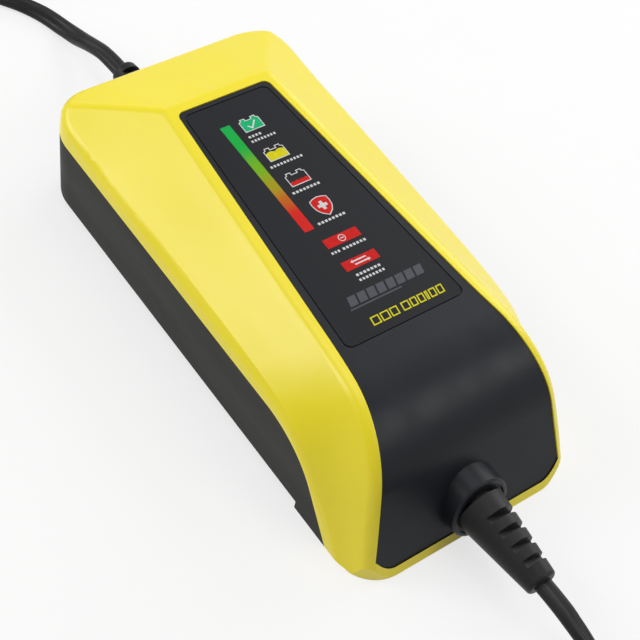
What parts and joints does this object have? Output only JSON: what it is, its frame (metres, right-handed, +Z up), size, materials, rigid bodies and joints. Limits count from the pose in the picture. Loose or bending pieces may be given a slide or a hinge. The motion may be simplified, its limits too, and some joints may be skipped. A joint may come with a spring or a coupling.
{
  "type": "car battery charger",
  "caption": "Compact car battery charger: yellow and black sealed case with lit status label, mains lead with plug and output lead with sprung battery clamps.",
  "frame": {"origin": "bottom centre of the case, at the height of the feet, without the leads", "axes": "+Y towards the rear where the mains lead leaves, +X to the right seen from the front nose, +Z up"},
  "size_m": [0.0995, 0.5665, 0.05],
  "materials": {
    "yellow_shell": "satin moulded plastic",
    "black_fascia": "satin moulded plastic",
    "grey_case": "fine moulded grain",
    "label_film": "printed film",
    "seal_rubber": "soft",
    "foot_rubber": "soft",
    "boot_rubber": "satin",
    "lead_jacket": "satin",
    "red_jacket": "satin",
    "plug_plastic": "satin",
    "board_green": "solder resist",
    "screw_steel": "zinc plated",
    "lamp_clear": "clear",
    "window_clear": "clear",
    "ferrite": "sintered",
    "winding_tape": "polyester tape",
    "can_sleeve": "sleeved cans",
    "sink_aluminium": "extruded",
    "chip_black": "moulded",
    "fuse_glass": "clear with metal caps",
    "clip_brass": "tinned",
    "terminal_green": "moulded",
    "blade_brass": "bright",
    "clamp_red": "soft moulded",
    "clamp_black": "soft moulded",
    "contact_copper": "copper plated",
    "spring_steel": "spring wire"
  },
  "bodies": {
    "root": {"top_shell": "yellow_shell", "centre_fascia": "black_fascia", "label_membrane": "label_film", "bottom_case": "grey_case", "case_seal": "seal_rubber", "main_board": "board_green", "board_screws": "screw_steel", "case_screws": "screw_steel", "rubber_feet": "foot_rubber", "display_board": "board_green", "display_board_screws": "screw_steel", "indicator_leds": "lamp_clear", "light_windows": "window_clear", "transformer_core": "ferrite", "transformer_winding": "winding_tape", "filter_choke": "ferrite", "capacitors": "can_sleeve", "heat_sink": "sink_aluminium", "power_transistors": "chip_black", "control_chips": "chip_black", "board_fuse": "fuse_glass", "fuse_clips": "clip_brass", "wire_terminals": "terminal_green", "output_strain_relief": "boot_rubber", "mains_strain_relief": "boot_rubber", "mains_inner_wires": "lead_jacket", "output_inner_wires": "lead_jacket", "mains_lead": "lead_jacket", "output_lead": "lead_jacket", "mains_lead_coil": "lead_jacket", "output_lead_coil": "lead_jacket", "mains_lead_tail": "lead_jacket", "output_lead_tail": "lead_jacket", "mains_plug": "plug_plastic", "plug_blades": "blade_brass", "lead_splitter": "plug_plastic", "red_leg": "red_jacket", "black_leg": "lead_jacket", "red_clamp_fixed_half": "clamp_red", "red_clamp_fixed_contact": "contact_copper", "red_clamp_spring": "spring_steel", "red_clamp_pin": "screw_steel", "black_clamp_fixed_half": "clamp_black", "black_clamp_fixed_contact": "contact_copper", "black_clamp_spring": "spring_steel", "black_clamp_pin": "screw_steel"},
    "red_clamp_lever": {"red_clamp_moving_half": "clamp_red", "red_clamp_moving_contact": "contact_copper"},
    "black_clamp_lever": {"black_clamp_moving_half": "clamp_black", "black_clamp_moving_contact": "contact_copper"}
  },
  "joints": [
    {"name": "red_clamp_hinge", "type": "hinge", "parent": "root", "child": "red_clamp_lever", "pos_m": [-0.0275, -0.204, 0.0195], "axis": [0, 0, 1], "range_deg": [0, 25], "stiffness_Nm_per_rad": 0.6, "springref_deg": -20.05, "deforming": ["red_clamp_spring"]},
    {"name": "black_clamp_hinge", "type": "hinge", "parent": "root", "child": "black_clamp_lever", "pos_m": [0.0175, -0.204, 0.0195], "axis": [0, 0, -1], "range_deg": [0, 25], "stiffness_Nm_per_rad": 0.6, "springref_deg": -20.05, "deforming": ["black_clamp_spring"]}
  ]
}
